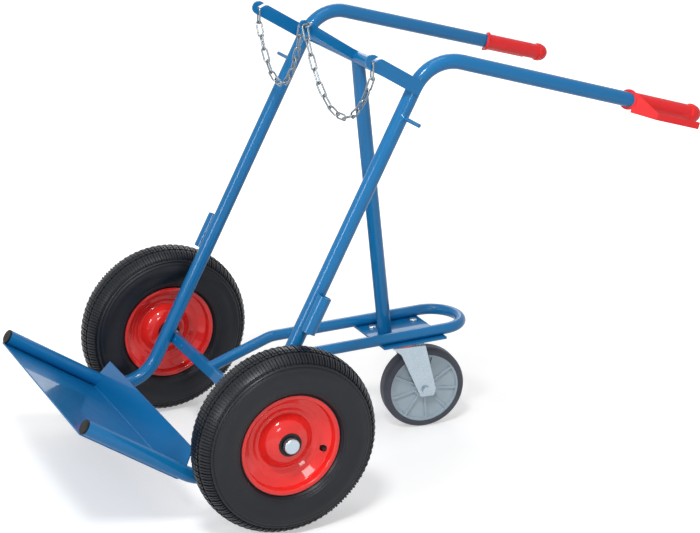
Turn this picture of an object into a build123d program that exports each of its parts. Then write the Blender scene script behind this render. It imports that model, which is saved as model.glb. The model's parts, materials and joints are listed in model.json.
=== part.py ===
from build123d import *
import math
import os

# Hand cart for two gas bottles, in millimetres and degrees.
# +X points forwards to the foot, +Y to the cart's left and +Z up. The floor is at zero.

# Driving sizes: main wheels and axle
tyre_diameter = 402.0
tyre_width = 98.0
tyre_wall = 7.5
tyre_widest_radius = 153.0
tyre_shoulder_inset = 8.0
tyre_shoulder_drop = 16.0
sidewall_bulge = 3.0
sidewall_bulge_rise = 11.0
bead_seat_diameter = 203.2
bead_width = 9.5
bead_rise = 2.0
inner_tube_gauge = 2.0
inner_tube_room = 5.0
rim_width = 70.0
rim_gauge = 2.5
flange_height = 7.1
disc_gauge = 3.0
band_set_out = 18.0
band_width = 17.0
band_drop = 10.0
step_width = 8.5
step_drop = 1.0
groove_outer_radius = 66.0
groove_inner_radius = 60.0
dome_brow_width = 21.0
dome_brow_drop = 7.0
dome_bend_radius = 30.0
disc_bend_radius = 5.0
tyre_gap = 14.5
hub_diameter = 50.0
hub_outboard = 31.0
hub_inboard = 37.0
bearing_diameter = 42.0
bearing_width = 12.0
bearing_recess = 2.0
bearing_shoulder = 3.0
bearing_seal_depth = 0.8
axle_diameter = 20.0
axle_overhang = 6.5
spacer_diameter = 30.0
cap_diameter = 34.0
cap_crown = 5.5
washer_gauge = 2.0
washer_diameter = 32.0
valve_diameter = 8.0
valve_hole_diameter = 14.0
valve_radius = 88.0
valve_angle = 201.0
valve_stand_out = 9.0

# Driving sizes: axle beam and its pins
beam_wall = 2.0
beam_corner_radius = 4.0
pin_diameter = 6.0
pin_head_diameter = 9.0
pin_head_height = 1.8
pin_outer_inset = 35.0
pin_inner_inset = 77.0

# Driving sizes: side tubes
tube_diameter = 32.0
tube_wall = 2.5
frame_width = 534.0
upright_lean = 28.05
foot_angle = 83.2
foot_length = 359.0
foot_bend_depth = 163.6
foot_bend_radius = 95.0
handle_bend_height = 832.5
handle_bend_radius = 90.0
handle_length = 647.0
handle_fall = 16.5
handle_splay = 4.7

# Driving sizes: foot plate and plugs
plate_gauge = 3.0
plate_depth = 243.0
plate_margin = 2.0
plate_bend_radius = 3.0
wall_height = 52.0
wall_taper_start = 17.0
wall_taper = 13.0
plug_head = 4.0
plug_insert = 20.0
plug_round = 2.0

# Driving sizes: rear loop, strut and crossbar
loop_diameter = 25.0
loop_wall = 2.0
loop_spacing = 130.0
loop_root_rise = 2.5
loop_bend_reach = 150.0
loop_bend_radius = 80.0
loop_reach = 592.0
strut_diameter = 32.0
strut_wall = 2.5
strut_reach = 405.5
strut_flat_length = 110.0
strut_flat_width = 42.0
strut_flat_depth = 25.0
crossbar_diameter = 26.9
crossbar_wall = 2.0
crossbar_height = 764.8

# Driving sizes: prongs, pegs and sockets
prong_gauge = 5.0
outer_prong_tilt = 3.5
outer_prong_width = 30.0
outer_prong_reach = 125.0
outer_prong_back = 6.0
outer_prong_rise = -2.0
outer_slot_depth = 15.0
middle_prong_tilt = 5.0
middle_prong_width = 20.5
middle_prong_reach = 151.0
middle_prong_rise = 1.5
middle_slot_depth = 13.0
slot_width = 7.0
slot_lean = 129.0
slot_lip_radius = 9.0
peg_diameter = 8.5
peg_length = 64.0
peg_drop = 69.5
peg_chamfer = 1.0
peg_bead = 3.0
socket_diameter = 30.0
socket_wall = 2.5
socket_height = 215.8
socket_length = 82.0

# Driving sizes: grips
grip_length = 165.5
grip_diameter = 36.0
grip_collar_diameter = 44.0
grip_collar_length = 6.0
grip_collar_slant = 26.0
grip_ring_diameter = 42.0
grip_ring_length = 9.0
grip_dome_radius = 20.0
grip_edge_round = 1.0
guard_gauge = 4.0
guard_gap = 30.0
guard_web_start = 9.0
guard_web_length = 51.0
guard_bend_radius = 11.5
guard_strip_height = 15.0
guard_drop = 24.5
guard_web_rise = 18.0
guard_end_gap = 7.5

# Driving sizes: chain
wire = 4.0
link_pitch = 32.0
link_width = 16.0
link_count = 14
chain_set_out = 8.0

# Driving sizes: castor
castor_wheel_diameter = 195.0
castor_wheel_width = 43.0
castor_tread_depth = 15.5
castor_tread_round = 11.0
castor_band_depth = 5.0
castor_band_inset = 2.5
castor_web_gauge = 26.0
castor_hub_diameter = 48.0
castor_rib_count = 9
castor_rib_turn = 14.0
castor_rib_gauge = 4.5
castor_rib_height = 5.0
castor_bush_wall = 4.0
castor_axle_diameter = 12.0
castor_axle_flats = 18.0
castor_axle_head = 7.0
castor_height = 236.3
castor_reach = 446.0
castor_trail = 53.0
castor_heading = -9.0
shelf_lead = 5.0
shelf_length = 158.0
shelf_width = 170.0
shelf_gauge = 5.0
top_plate_length = 140.0
top_plate_width = 110.0
top_plate_gauge = 4.0
top_plate_round = 8.0
bolt_pattern_length = 105.0
bolt_pattern_width = 80.0
bolt_diameter = 10.0
bolt_head_diameter = 19.0
bolt_head_height = 4.5
nut_across_flats = 17.0
nut_height = 8.0
thread_tail = 2.0
fork_gap = 54.0
fork_gauge = 4.0
fork_bend_radius = 5.0
crown_clearance = 11.0
crown_front = 26.5
crown_neck = 7.5
crown_flare_height = 15.0
crown_flare_radius = 20.0
crown_rear = 50.0
leg_back = 24.0
leg_front = 13.0
leg_drop = 16.0
leg_toe = 4.0
leg_corner_radius = 7.0
king_pin_diameter = 14.0
king_pin_head_diameter = 24.0
king_pin_head_height = 6.0
king_pin_round = 2.0
race_radius = 20.0
ball_diameter = 8.0
ball_count = 12
race_gauge = 3.0
seal_diameter = 74.0
seal_wall = 5.0
seal_height = 14.0

# Clearances and weld depths
weld_sink = 1.0
dome_share = 0.8
seat_depth = 0.5
running_clearance = 0.05
fit_clearance = 0.1
moving_clearance = 0.4

# Radii and half widths
tube_radius = tube_diameter / 2
loop_radius = loop_diameter / 2
axle_radius = axle_diameter / 2
tyre_radius = tyre_diameter / 2
castor_radius = castor_wheel_diameter / 2
bar_y = frame_width / 2
wheel_y = bar_y + tube_radius + tyre_gap + tyre_width / 2
beam_bore = axle_diameter + 2 * fit_clearance
beam_size = beam_bore + 2 * beam_wall

# Directions of the upright, the foot and the left handle
X = Vector(1, 0, 0)
Y = Vector(0, 1, 0)
Z = Vector(0, 0, 1)
lean = math.radians(upright_lean)
foot_rise = math.radians(90 + upright_lean - foot_angle)
fall = math.radians(handle_fall)
splay = math.radians(handle_splay)
up_dir = Vector(-math.sin(lean), 0, math.cos(lean))
out_dir = Vector(math.cos(lean), 0, math.sin(lean))
foot_dir = Vector(math.cos(foot_rise), 0, math.sin(foot_rise))
handle_dir = Vector(-math.cos(fall) * math.cos(splay), math.cos(fall) * math.sin(splay), -math.sin(fall))

# Corners of the left side tube, measured from the axle
upright_offset = tube_radius + beam_size / 2 - weld_sink
upright_root = out_dir * upright_offset
foot_corner = upright_root - up_dir * foot_bend_depth
foot_tip = foot_corner + foot_dir * foot_length
handle_corner = upright_root + up_dir * handle_bend_height
handle_end = handle_corner + handle_dir * handle_length

# The frame's origin is under the middle of the whole cart, which sets where the axle is
plate_depth_below = tube_radius - seat_depth + plate_gauge
front_reach = foot_tip.X + plug_head * foot_dir.X + plate_depth_below * foot_dir.Z
rear_reach = grip_dome_radius - handle_end.X
axle = Vector((rear_reach - front_reach) / 2, 0, tyre_radius)
left_bar = Y * bar_y


def upright_point(forward, along, side=0.0):
    """Return a point given by its distance before the uprights' plane and along it from the axle."""
    return axle + upright_root + out_dir * forward + up_dir * along + Y * side


def straight_tube(start, end, outer_radius, bore_radius=0.0):
    """Return a round tube between two points, or a solid bar where the bore is zero."""
    span = end - start
    with BuildPart() as tube:
        with BuildSketch(Plane(origin=start, z_dir=span)):
            Circle(outer_radius)
            if bore_radius > 0:
                Circle(bore_radius, mode=Mode.SUBTRACT)
        extrude(amount=span.length)
    return tube.part


def bent_tube(corners, bend_radii, outer_radius, bore_radius=0.0):
    """Return a round tube bent at its inner corners, or a solid bar where the bore is zero."""
    with BuildPart() as tube:
        with BuildLine() as path:
            FilletPolyline(*corners, radius=bend_radii)
        with BuildSketch(Plane(origin=path.line @ 0, z_dir=path.line % 0)):
            Circle(outer_radius)
            if bore_radius > 0:
                Circle(bore_radius, mode=Mode.SUBTRACT)
        sweep(path=path.line)
    return tube.part


def without(part, *cutters):
    """Return a part with other solids cut out of it."""
    with BuildPart() as rest:
        add(part)
        for cutter in cutters:
            add(cutter, mode=Mode.SUBTRACT)
    return rest.part


def mirrored(part):
    """Return the right-hand copy of a left-hand part."""
    with BuildPart() as copy:
        add(part)
        mirror(about=Plane.XZ, mode=Mode.REPLACE)
    return copy.part


def group(shape, places):
    """Return separate copies of one solid at several places."""
    with BuildPart() as copies:
        with Locations(*places):
            add(shape)
    return copies.part


def save(part, name):
    """Label a finished piece and write it to its own file."""
    part.label = name
    export_step(part, f"parts/{name}.step")


def save_pair(part, name):
    """Write a left-hand piece and its mirrored right-hand piece."""
    save(part, f"left_{name}")
    save(mirrored(part), f"right_{name}")


os.makedirs("parts", exist_ok=True)

# Side tubes: each is one tube, bent at the foot and at the handle
side_corners = [axle + left_bar + corner for corner in (foot_tip, foot_corner, handle_corner, handle_end)]
side_bends = [foot_bend_radius, handle_bend_radius]
left_envelope = bent_tube(side_corners, side_bends, tube_radius)
right_envelope = mirrored(left_envelope)
left_side_tube = bent_tube(side_corners, side_bends, tube_radius, tube_radius - tube_wall)
save_pair(left_side_tube, "side_tube")

# Foot plugs close the front ends of the side tubes
plug_face = side_corners[0] + foot_dir * plug_head
plug_envelope = straight_tube(side_corners[0], plug_face, tube_radius)
with BuildPart() as left_foot_plug:
    add(plug_envelope)
    front_rim = left_foot_plug.faces().sort_by(Axis(side_corners[0], foot_dir))[-1].edges()
    fillet(front_rim, plug_round)
    with BuildSketch(Plane(origin=side_corners[0], z_dir=-foot_dir)):
        Circle(tube_radius - tube_wall - fit_clearance)
    extrude(amount=plug_insert)
save_pair(left_foot_plug.part, "foot_plug")

# Foot plate: one sheet under the foot tubes, folded up square behind the bottles and notched for the tubes
plate_top = tube_radius - seat_depth
plate_half = bar_y + plate_margin
fold_plane = Plane(origin=axle + foot_tip, x_dir=-foot_dir, z_dir=-Y)
with BuildPart() as foot_plate:
    with BuildSketch(fold_plane):
        with BuildLine():
            FilletPolyline(
                (-plug_head, plate_top),
                (plate_depth, plate_top),
                (plate_depth, -wall_height),
                radius=plate_bend_radius,
            )
            FilletPolyline(
                (-plug_head, plate_top + plate_gauge),
                (plate_depth + plate_gauge, plate_top + plate_gauge),
                (plate_depth + plate_gauge, -wall_height),
                radius=plate_bend_radius + plate_gauge,
            )
            Line((-plug_head, plate_top), (-plug_head, plate_top + plate_gauge))
            Line((plate_depth, -wall_height), (plate_depth + plate_gauge, -wall_height))
        make_face()
    extrude(amount=plate_half, both=True)
    wall_plane = Plane(origin=axle + foot_tip - foot_dir * plate_depth, x_dir=-Y, z_dir=-foot_dir)
    corner_points = [
        (plate_half, wall_taper_start),
        (plate_half, wall_height),
        (plate_half - wall_taper, wall_height),
    ]
    with BuildSketch(wall_plane):
        with BuildLine():
            Polyline(*corner_points, close=True)
        make_face()
        mirror(about=Plane.YZ)
    extrude(amount=plate_gauge, mode=Mode.SUBTRACT)
    for seat in (left_envelope, right_envelope, plug_envelope, mirrored(plug_envelope)):
        add(seat, mode=Mode.SUBTRACT)
save(foot_plate.part, "foot_plate")

# Axle beam: a square tube behind the uprights that holds the axle, with cross pins through both
beam_plane = Plane(origin=axle, x_dir=out_dir, z_dir=Y)
beam_half = bar_y + tube_radius
pin_sides = [side * (beam_half - inset) for side in (1, -1) for inset in (pin_outer_inset, pin_inner_inset)]
pin_start = axle - out_dir * (beam_size / 2)
pin_end = axle + out_dir * (beam_size / 2)
with BuildPart() as one_pin:
    add(straight_tube(pin_start, pin_end, pin_diameter / 2))
    with BuildSketch(Plane(origin=pin_end, z_dir=out_dir)):
        Circle(pin_head_diameter / 2)
    extrude(amount=pin_head_height)
    fillet(one_pin.faces().sort_by(Axis(axle, out_dir))[-1].edges(), pin_head_height * dome_share)
axle_pins = group(one_pin.part, [(0, side, 0) for side in pin_sides])
save(axle_pins, "axle_pins")

with BuildPart() as beam_envelope:
    with BuildSketch(beam_plane):
        RectangleRounded(beam_size, beam_size, beam_corner_radius)
    extrude(amount=beam_half, both=True)
with BuildPart() as axle_beam:
    add(beam_envelope.part)
    with BuildSketch(beam_plane):
        RectangleRounded(beam_bore, beam_bore, beam_corner_radius - beam_wall)
    extrude(amount=beam_half, both=True, mode=Mode.SUBTRACT)
    add(left_envelope, mode=Mode.SUBTRACT)
    add(right_envelope, mode=Mode.SUBTRACT)
    add(axle_pins, mode=Mode.SUBTRACT)
save(axle_beam.part, "axle_beam")

# Axle: one bar through the beam, carrying the spacers, washers and end caps
hub_face_y = wheel_y + hub_outboard
hub_back_y = wheel_y - hub_inboard
axle_half = hub_face_y + axle_overhang
axle_bar = straight_tube(axle - Y * axle_half, axle + Y * axle_half, axle_radius)
save(without(axle_bar, axle_pins), "axle")

spacer_end = hub_back_y + bearing_recess - moving_clearance
left_spacer = straight_tube(axle + Y * beam_half, axle + Y * spacer_end, spacer_diameter / 2, axle_radius)
with BuildPart() as axle_spacers:
    add(left_spacer)
    add(mirrored(left_spacer))
save(axle_spacers.part, "axle_spacers")

washer_y = hub_face_y - bearing_recess + moving_clearance
washer_end = washer_y + washer_gauge
left_washer = straight_tube(axle + Y * washer_y, axle + Y * washer_end, washer_diameter / 2, axle_radius)
with BuildPart() as axle_washers:
    add(left_washer)
    add(mirrored(left_washer))
save(axle_washers.part, "axle_washers")

cap_start = axle + Y * washer_end
cap_end = axle + Y * (axle_half + cap_crown)
with BuildPart() as left_axle_cap:
    add(straight_tube(cap_start, cap_end, cap_diameter / 2))
    fillet(left_axle_cap.faces().sort_by(Axis.Y)[-1].edges(), cap_crown * dome_share)
    add(axle_bar, mode=Mode.SUBTRACT)
save_pair(left_axle_cap.part, "axle_cap")

# Main wheel: profiles are drawn as distance outboard of the wheel's middle plane and radius
wheel_centre = axle + Y * wheel_y
wheel_plane = Plane(origin=wheel_centre, x_dir=Y, z_dir=X)
wheel_axis = Axis(wheel_centre, Y)
seat_radius = bead_seat_diameter / 2
flange_radius = seat_radius + flange_height
barrel_radius = seat_radius - rim_gauge
rim_half = rim_width / 2
bead_face = rim_half - rim_gauge - fit_clearance
bead_back = bead_face - bead_width
bead_top = flange_radius + bead_rise
tyre_half = tyre_width / 2
shoulder_half = tyre_half - tyre_shoulder_inset
shoulder_radius = tyre_radius - tyre_shoulder_drop
sidewall_swell = (tyre_half + bead_face) / 2 + sidewall_bulge
sidewall_swell_radius = bead_top + sidewall_bulge_rise

with BuildPart() as tyre:
    with BuildSketch(wheel_plane):
        with BuildLine():
            TangentArc((0, tyre_radius), (shoulder_half, shoulder_radius), tangent=(1, 0))
            Spline(
                (shoulder_half, shoulder_radius),
                (tyre_half, tyre_widest_radius),
                (sidewall_swell, sidewall_swell_radius),
                (bead_face, bead_top),
            )
            Polyline(
                (bead_face, bead_top),
                (bead_face, seat_radius + fit_clearance),
                (bead_back, seat_radius + fit_clearance),
                (bead_back, bead_top),
            )
            Spline(
                (bead_back, bead_top),
                (sidewall_swell - tyre_wall, sidewall_swell_radius + tyre_wall),
                (tyre_half - tyre_wall, tyre_widest_radius),
                (shoulder_half - tyre_wall, shoulder_radius - tyre_wall),
            )
            TangentArc(
                (0, tyre_radius - tyre_wall),
                (shoulder_half - tyre_wall, shoulder_radius - tyre_wall),
                tangent=(1, 0),
            )
            mirror(about=Plane.YZ)
        make_face()
    revolve(axis=wheel_axis)
save_pair(tyre.part, "tyre")

# Inner tube: a hollow rubber ring inside the tyre
tube_low = seat_radius + inner_tube_room
tube_high = tyre_radius - tyre_wall - inner_tube_room
tube_middle = (tube_low + tube_high) / 2
tube_half_height = (tube_high - tube_low) / 2
tube_half_width = shoulder_half - tyre_wall - inner_tube_room
valve_turn = math.radians(valve_angle)
valve_out = Vector(math.cos(valve_turn), 0, math.sin(valve_turn))
valve_root = wheel_centre + valve_out * (tube_low + inner_tube_gauge / 2)
valve_elbow = wheel_centre + valve_out * valve_radius
valve_tip = valve_elbow + Y * (band_set_out - band_drop + valve_stand_out)
valve_envelope = bent_tube([valve_root, valve_elbow, valve_tip], [valve_diameter], valve_diameter / 2)
with BuildPart() as inner_tube:
    with BuildSketch(wheel_plane):
        with Locations((0, tube_middle)):
            Ellipse(tube_half_width, tube_half_height)
            Ellipse(
                tube_half_width - inner_tube_gauge,
                tube_half_height - inner_tube_gauge,
                mode=Mode.SUBTRACT,
            )
    revolve(axis=wheel_axis)
save_pair(inner_tube.part, "inner_tube")
save_pair(without(valve_envelope, inner_tube.part), "valve")

# Rim: two pressed halves that meet at the wheel's middle plane. The outboard one is holed for the valve
hub_radius = hub_diameter / 2
band_inner_radius = barrel_radius - band_width
step_radius = band_inner_radius - step_width
dome_edge = hub_outboard - bearing_recess
disc_face = [
    (band_set_out - band_drop, band_inner_radius),
    (band_set_out - band_drop - step_drop, step_radius),
    (disc_gauge, groove_outer_radius),
    (disc_gauge, groove_inner_radius),
    (dome_edge - dome_brow_drop, hub_radius + dome_brow_width),
    (dome_edge, hub_radius),
]
disc_back = [(offset - disc_gauge, radius) for offset, radius in disc_face]
half_face = [(rim_half, flange_radius), (rim_half, barrel_radius), (band_set_out, barrel_radius)] + disc_face
half_back = [
    (rim_half - rim_gauge, flange_radius),
    (rim_half - rim_gauge, seat_radius),
    (band_set_out - disc_gauge, seat_radius),
] + disc_back
face_bends = [disc_bend_radius] * (len(half_face) - 3) + [dome_bend_radius]


def pressed_rim(side):
    """Return one pressed half of the rim, outboard for a side of 1 and inboard for -1."""
    face = [(side * offset, radius) for offset, radius in half_face]
    back = [(side * offset, radius) for offset, radius in half_back]
    with BuildPart() as half:
        with BuildSketch(wheel_plane):
            with BuildLine():
                FilletPolyline(*face, radius=face_bends)
                Line(back[0], back[1])
                FilletPolyline(*back[1:], radius=face_bends[1:])
                Line(face[0], back[0])
                Line(face[-1], back[-1])
            make_face()
        revolve(axis=wheel_axis)
    return half.part


valve_hole = straight_tube(valve_elbow, valve_tip, valve_hole_diameter / 2)
save_pair(without(pressed_rim(1), valve_hole), "outer_rim")
save_pair(pressed_rim(-1), "inner_rim")

# Hub: a turned sleeve in both rim halves with a bearing in each end
bearing_radius = bearing_diameter / 2
seat_depth_in_hub = bearing_recess + bearing_width
with BuildPart() as hub:
    with BuildSketch(wheel_plane):
        with BuildLine():
            Polyline(
                (-hub_inboard, hub_radius),
                (hub_outboard, hub_radius),
                (hub_outboard, bearing_radius),
                (hub_outboard - seat_depth_in_hub, bearing_radius),
                (hub_outboard - seat_depth_in_hub, bearing_radius - bearing_shoulder),
                (seat_depth_in_hub - hub_inboard, bearing_radius - bearing_shoulder),
                (seat_depth_in_hub - hub_inboard, bearing_radius),
                (-hub_inboard, bearing_radius),
                close=True,
            )
        make_face()
    revolve(axis=wheel_axis)
save_pair(hub.part, "hub")

bearing_face_out = hub_outboard - bearing_recess
bearing_face_in = seat_depth_in_hub - hub_inboard
bearing_bore = axle_radius + running_clearance
with BuildPart() as bearings:
    for face in (bearing_face_out, bearing_face_in):
        with BuildSketch(wheel_plane):
            with Locations((face - bearing_width / 2, (bearing_radius + bearing_bore) / 2)):
                Rectangle(bearing_width, bearing_radius - bearing_bore)
            with Locations((face, (bearing_radius + bearing_bore) / 2)):
                Rectangle(2 * bearing_seal_depth, (bearing_radius - bearing_bore) / 2, mode=Mode.SUBTRACT)
        revolve(axis=wheel_axis)
save_pair(bearings.part, "wheel_bearings")

# Castor shelf: a flat plate under the rear loop, level with the castor's top plate
shelf_bottom = castor_height
shelf_top = castor_height + shelf_gauge
swivel = Vector(axle.X - castor_reach, 0, 0)
bolt_places = GridLocations(bolt_pattern_length, bolt_pattern_width, 2, 2).local_locations
bolt_points = [swivel + place.position for place in bolt_places]

# Rear loop: one tube from the axle beam back round behind the castor
loop_z = shelf_top + loop_radius - seat_depth
loop_y = loop_spacing / 2
loop_root = axle + Z * loop_root_rise + Y * loop_y
loop_bend = Vector(axle.X - loop_bend_reach, loop_y, loop_z)
loop_end = Vector(axle.X - loop_reach, loop_y, loop_z)
loop_half_turn = loop_y - fit_clearance
loop_left = [loop_root, loop_bend, loop_end]
loop_right = [Vector(point.X, -point.Y, point.Z) for point in reversed(loop_left)]
loop_bends = [loop_bend_radius, loop_half_turn, loop_half_turn, loop_bend_radius]
loop_envelope = bent_tube(loop_left + loop_right, loop_bends, loop_radius)
rear_loop = bent_tube(loop_left + loop_right, loop_bends, loop_radius, loop_radius - loop_wall)
save(without(rear_loop, beam_envelope.part), "rear_loop")

shelf_middle = swivel + Z * shelf_bottom
with BuildPart() as castor_shelf:
    with BuildSketch(Plane(origin=shelf_middle)):
        with Locations((shelf_lead, 0)):
            Rectangle(shelf_length, shelf_width)
        with GridLocations(bolt_pattern_length, bolt_pattern_width, 2, 2):
            Circle(bolt_diameter / 2 + fit_clearance, mode=Mode.SUBTRACT)
    extrude(amount=shelf_gauge)
    add(loop_envelope, mode=Mode.SUBTRACT)
save(castor_shelf.part, "castor_shelf")

# Crossbar between the uprights
crossbar_centre = upright_point(0, crossbar_height)
crossbar_radius = crossbar_diameter / 2
crossbar_left = crossbar_centre + left_bar
crossbar_right = crossbar_centre - left_bar
crossbar_envelope = straight_tube(crossbar_right, crossbar_left, crossbar_radius)
crossbar = straight_tube(crossbar_right, crossbar_left, crossbar_radius, crossbar_radius - crossbar_wall)
save(without(crossbar, left_envelope, right_envelope), "crossbar")

# Rear strut: a tube from the shelf up to the crossbar, pressed wide and flat at the top
strut_foot = Vector(axle.X - strut_reach, 0, shelf_top)
strut_span = crossbar_centre - strut_foot
strut_dir = strut_span.normalized()
flat_start = crossbar_centre - strut_dir * strut_flat_length
strut_radius = strut_diameter / 2


def strut_solid(inset):
    """Return the strut's outer shape, made smaller all round by an inset."""
    with BuildPart() as solid:
        with BuildSketch(Plane(origin=flat_start, x_dir=Y, z_dir=strut_dir)):
            Circle(strut_radius - inset)
        with BuildSketch(Plane(origin=crossbar_centre, x_dir=Y, z_dir=strut_dir)):
            Ellipse(strut_flat_width / 2 - inset, strut_flat_depth / 2 - inset)
        loft()
        with BuildSketch(Plane(origin=flat_start, x_dir=Y, z_dir=strut_dir)):
            Circle(strut_radius - inset)
        extrude(amount=-strut_span.length)
    return solid.part


with BuildPart() as floor_cut:
    with BuildSketch(Plane(origin=Vector(strut_foot.X, 0, shelf_top))):
        Rectangle(shelf_length + shelf_width, shelf_width)
    extrude(amount=-strut_span.length)
rear_strut = without(strut_solid(0.0), strut_solid(strut_wall), floor_cut.part, crossbar_envelope)
save(rear_strut, "rear_strut")

# Prongs: flat bars with a hooked end. Places are drawn before the uprights' plane and along it from the axle
slot_turn = math.radians(slot_lean)
slot_dir = Vector(math.cos(slot_turn), math.sin(slot_turn))


def on_prong(forward, rise, tilt):
    """Return a place on a prong's middle line."""
    return Vector(forward, crossbar_height + rise + forward * math.tan(math.radians(tilt)))


def prong(start, end, slot_end, width, middle_y):
    """Return a flat bar from a start to a rounded end with a slanting open slot."""
    span = end - start
    tilt = math.degrees(math.atan2(span.Y, span.X))
    origin = upright_point(0, 0, middle_y)
    with BuildPart() as bar:
        with BuildSketch(Plane(origin=origin, x_dir=out_dir, z_dir=-Y)) as face:
            with Locations((start + end) / 2):
                Rectangle(span.length, width, rotation=tilt)
            with Locations(end):
                Circle(width / 2)
            with Locations(slot_end):
                Circle(slot_width / 2, mode=Mode.SUBTRACT)
            with Locations(slot_end + slot_dir * width / 2):
                Rectangle(width, slot_width, rotation=slot_lean, mode=Mode.SUBTRACT)
            slot_lip = face.vertices().sort_by_distance(end + Vector(-width, width / 2))[0]
            fillet(slot_lip, slot_lip_radius)
        extrude(amount=prong_gauge / 2, both=True)
    return bar.part


outer_prong_y = bar_y + tube_radius - weld_sink + prong_gauge / 2
outer_start = on_prong(-outer_prong_back, outer_prong_rise, outer_prong_tilt)
outer_end = on_prong(outer_prong_reach, outer_prong_rise, outer_prong_tilt)
outer_hook = outer_end + Vector(0, outer_prong_width / 2 - outer_slot_depth)
outer_bar = prong(outer_start, outer_end, outer_hook, outer_prong_width, outer_prong_y)
save_pair(without(outer_bar, left_envelope), "prong")
middle_start = on_prong(0.0, middle_prong_rise, middle_prong_tilt)
middle_end = on_prong(middle_prong_reach, middle_prong_rise, middle_prong_tilt)
middle_hook = middle_end + Vector(0, middle_prong_width / 2 - middle_slot_depth)
middle_bar = prong(middle_start, middle_end, middle_hook, middle_prong_width, 0.0)
middle_prong = without(middle_bar, crossbar_envelope, strut_solid(0.0))
save(middle_prong, "middle_prong")

# Pegs stand out sideways from the uprights, each with a weld bead at its root
peg_root = upright_point(0, crossbar_height - peg_drop, bar_y)
peg_end = peg_root + Y * (tube_radius + peg_length)
with BuildPart() as left_peg:
    add(straight_tube(peg_root, peg_end, peg_diameter / 2))
    chamfer(left_peg.faces().sort_by(Axis.Y)[-1].edges(), peg_chamfer)
    with Locations(Plane(origin=peg_root + Y * tube_radius, z_dir=Y)):
        Cone(peg_diameter / 2 + 2 * peg_bead, peg_diameter / 2, 2 * peg_bead)
    add(left_envelope, mode=Mode.SUBTRACT)
save_pair(left_peg.part, "peg")

# Sockets: short open tubes welded along the uprights' outer sides
socket_radius = socket_diameter / 2
socket_y = bar_y + tube_radius + socket_radius - weld_sink
socket_low = upright_point(0, socket_height, socket_y)
socket_high = upright_point(0, socket_height + socket_length, socket_y)
left_socket = straight_tube(socket_low, socket_high, socket_radius, socket_radius - socket_wall)
save_pair(without(left_socket, left_envelope), "socket")

# Grips: a sleeve over the handle's end with a domed tip and an open guard for the knuckles.
# Guard places are drawn as distance outwards from the handle and back from the grip's front.
grip_end = side_corners[-1]
grip_front = grip_end - handle_dir * grip_length
grip_radius = grip_diameter / 2
grip_up = handle_dir.cross(Y).normalized() * -1
guard_line = grip_radius + guard_gap + guard_gauge / 2
guard_length = grip_length - guard_end_gap
grip_out = handle_dir.cross(grip_up)
slant = math.radians(grip_collar_slant)
collar_dir = handle_dir * math.cos(slant) - grip_out * math.sin(slant)
collar_setback = grip_radius * math.tan(slant)
guard_plane = Plane(origin=grip_front - grip_up * guard_drop, x_dir=handle_dir, z_dir=-grip_up)
trim_plane = Plane(origin=grip_front, x_dir=handle_dir, z_dir=grip_out)
strip_top = guard_strip_height - guard_drop
with BuildPart() as guard:
    with BuildSketch(guard_plane):
        with BuildLine():
            FilletPolyline(
                (collar_setback, grip_radius - guard_gauge),
                (guard_web_length, guard_line),
                (guard_length, guard_line),
                radius=guard_bend_radius,
            )
            offset(amount=guard_gauge / 2)
        make_face()
    extrude(amount=-(guard_drop + guard_web_rise))
    with BuildSketch(trim_plane):
        with BuildLine():
            Polyline(
                (guard_web_start, guard_web_rise),
                (guard_web_length, strip_top),
                (grip_length, strip_top),
                (grip_length, guard_web_rise),
                close=True,
            )
        make_face()
    extrude(amount=2 * guard_line, mode=Mode.SUBTRACT)
with BuildPart() as left_grip:
    with BuildSketch(Plane(origin=grip_end, z_dir=-handle_dir)):
        Circle(grip_radius)
    extrude(amount=grip_length + collar_setback)
    with BuildSketch(Plane(origin=grip_front, z_dir=collar_dir)):
        Circle(grip_length)
    extrude(amount=-grip_length, mode=Mode.SUBTRACT)
    with BuildSketch(Plane(origin=grip_front, z_dir=collar_dir)):
        Circle(grip_collar_diameter / 2)
    extrude(amount=grip_collar_length)
    with BuildSketch(Plane(origin=grip_end, z_dir=-handle_dir)):
        Circle(grip_ring_diameter / 2)
    extrude(amount=grip_ring_length)
    fillet(left_grip.edges().filter_by(GeomType.CIRCLE), grip_edge_round)
    with Locations(Plane(origin=grip_end, z_dir=handle_dir)):
        Sphere(grip_dome_radius)
    add(guard.part)
    add(left_envelope, mode=Mode.SUBTRACT)
save_pair(left_grip.part, "grip")

# Chain links: a stadium of round wire, built lying along X with its width along Y
link_half = (link_pitch + wire) / 2
bow_radius = (link_width - wire) / 2
link_step = link_pitch - moving_clearance
with BuildPart() as one_link:
    with BuildSketch() as link_line:
        SlotOverall(2 * link_half, 2 * bow_radius)
    link_path = link_line.face().outer_wire()
    with BuildSketch(Plane(origin=link_path @ 0, z_dir=link_path % 0)) as wire_section:
        Circle(wire / 2)
    sweep(sections=wire_section.sketch, path=link_path, mode=Mode.REPLACE)
chain_link = one_link.part


def link_place(start, end, across):
    """Return where a link lies between two joints, with its width in a given direction."""
    along = (end - start).normalized()
    return Plane(origin=(start + end) / 2, x_dir=along, z_dir=along.cross(across)).location


def hanging_joints(start, end, count, step):
    """Return the joints of a chain of equal steps that hangs between two points."""
    drop = end.Z - start.Z
    level = Vector(end.X - start.X, end.Y - start.Y, 0)
    length = count * step
    stretch = math.sqrt(length ** 2 - drop ** 2) / level.length
    low, high = 1e-3, 10.0
    for _ in range(60):
        guess = (low + high) / 2
        if math.sinh(guess) / guess < stretch:
            low = guess
        else:
            high = guess
    curve = level.length / (2 * low)
    bottom = level.length / 2 - curve * math.atanh(drop / length)
    joints = []
    for index in range(count + 1):
        reach = bottom + curve * math.asinh(index * step / curve - math.sinh(bottom / curve))
        height = curve * (math.cosh((reach - bottom) / curve) - math.cosh(bottom / curve))
        joints.append(start + level.normalized() * reach + Z * height)
    return joints


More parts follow.
